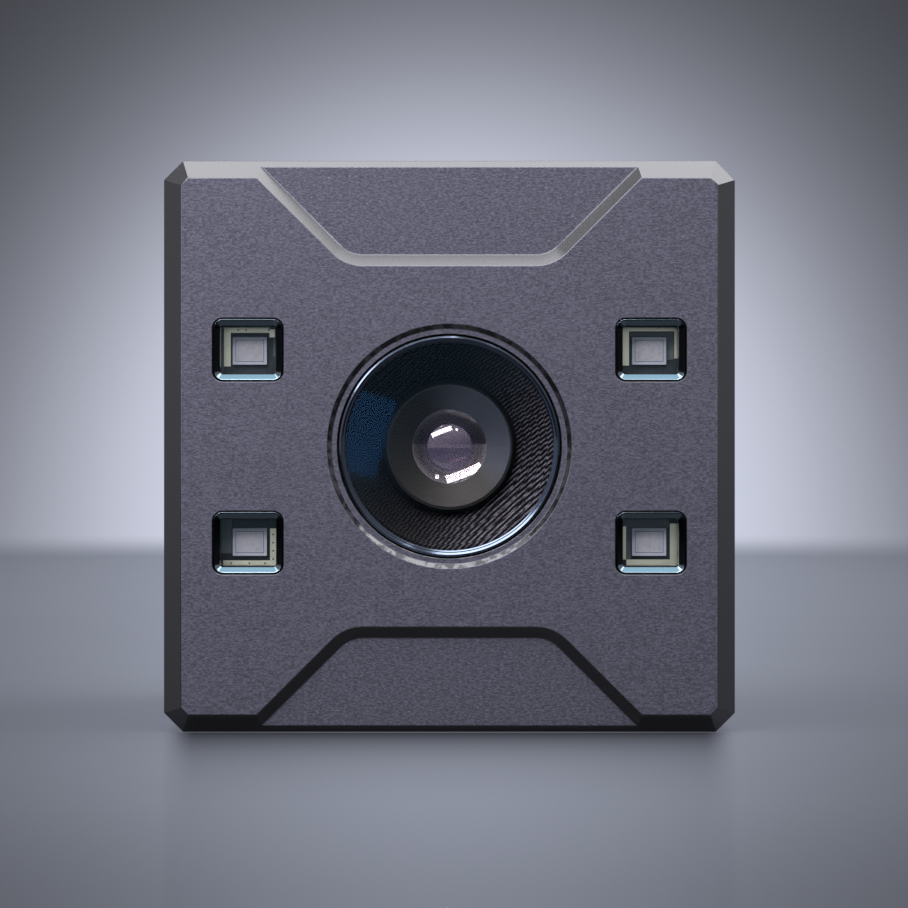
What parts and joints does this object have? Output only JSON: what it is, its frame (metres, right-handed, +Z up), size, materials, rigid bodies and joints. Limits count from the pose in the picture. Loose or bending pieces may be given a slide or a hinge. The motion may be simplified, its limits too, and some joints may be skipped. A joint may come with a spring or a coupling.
{
  "type": "machine vision camera",
  "caption": "Square sealed industrial camera: a fixed lens behind a round window, small emitter windows round it, cooling slots and round rear sockets.",
  "frame": {"origin": "middle of the underside, at the centre of the bounding box seen from above", "axes": "+Z up; the lens looks along -Y, so +Y points out of the rear sockets; +X is to the right of someone who faces the lens"},
  "size_m": [0.06, 0.0776, 0.06],
  "materials": {
    "front_metal": "bead-blasted, anodised dark violet grey",
    "body_metal": "bead-blasted, anodised dark violet grey",
    "seal_rubber": "matt black silicone rubber",
    "black_steel": "blackened steel",
    "plain_steel": "plain zinc-plated steel",
    "cover_glass": "coated clear glass with a faint blue sheen",
    "pane_glass": "coated clear glass with a faint blue sheen",
    "baffle_black": "black anodised, grooved",
    "lens_metal": "satin black anodised",
    "nose_metal": "satin dark grey anodised",
    "lens_glass": "coated lens glass with a purple sheen",
    "filter_glass": "clear filter glass",
    "holder_plastic": "glass-filled black plastic",
    "board_laminate": "dark green solder mask on laminate",
    "emitter_body": "light grey ceramic",
    "emitter_fill": "clear silicone over grey chips",
    "thermal_pad": "soft grey pad",
    "bare_aluminium": "machined aluminium",
    "black_plastic": "moulded black plastic",
    "sensor_ceramic": "dark ceramic",
    "socket_metal": "nickel-plated brass",
    "contact_gold": "gold-plated brass",
    "light_pipe": "clear frosted plastic"
  },
  "bodies": {
    "root": {"front_housing": "front_metal", "main_body": "body_metal", "rear_cover": "body_metal", "front_seal": "seal_rubber", "rear_seal": "seal_rubber", "cover_window_seal": "seal_rubber", "emitter_window_seal_top_left": "seal_rubber", "emitter_window_seal_top_right": "seal_rubber", "emitter_window_seal_bottom_left": "seal_rubber", "emitter_window_seal_bottom_right": "seal_rubber", "tie_screws": "black_steel", "lens_holder_screws": "plain_steel", "board_screws": "plain_steel", "front_standoffs": "plain_steel", "middle_standoffs": "plain_steel", "rear_standoffs": "plain_steel", "cover_window": "cover_glass", "emitter_window_top_left": "pane_glass", "emitter_window_top_right": "pane_glass", "emitter_window_bottom_left": "pane_glass", "emitter_window_bottom_right": "pane_glass", "baffle_cone": "baffle_black", "lens_barrel": "lens_metal", "lens_spacer": "lens_metal", "lens_aperture_stop": "lens_metal", "lens_rear_ring": "lens_metal", "lens_lock_ring": "lens_metal", "lens_nose_ring": "nose_metal", "lens_front_element": "lens_glass", "lens_middle_element": "lens_glass", "lens_rear_element": "lens_glass", "cut_filter": "filter_glass", "sensor_cover_glass": "filter_glass", "lens_holder": "holder_plastic", "emitter_board": "board_laminate", "sensor_board": "board_laminate", "processor_board": "board_laminate", "rear_board": "board_laminate", "emitter_package_top_left": "emitter_body", "emitter_package_top_right": "emitter_body", "emitter_package_bottom_left": "emitter_body", "emitter_package_bottom_right": "emitter_body", "emitter_fill_top_left": "emitter_fill", "emitter_fill_top_right": "emitter_fill", "emitter_fill_bottom_left": "emitter_fill", "emitter_fill_bottom_right": "emitter_fill", "emitter_thermal_pad": "thermal_pad", "heat_spreader": "bare_aluminium", "sensor_link": "black_plastic", "power_link": "black_plastic", "processor": "black_plastic", "data_socket_insert": "black_plastic", "power_socket_insert": "black_plastic", "image_sensor": "sensor_ceramic", "data_socket_shell": "socket_metal", "power_socket_shell": "socket_metal", "socket_nuts": "socket_metal", "data_socket_contacts": "contact_gold", "power_socket_pins": "contact_gold", "status_light_pipes": "light_pipe"}
  },
  "joints": []
}
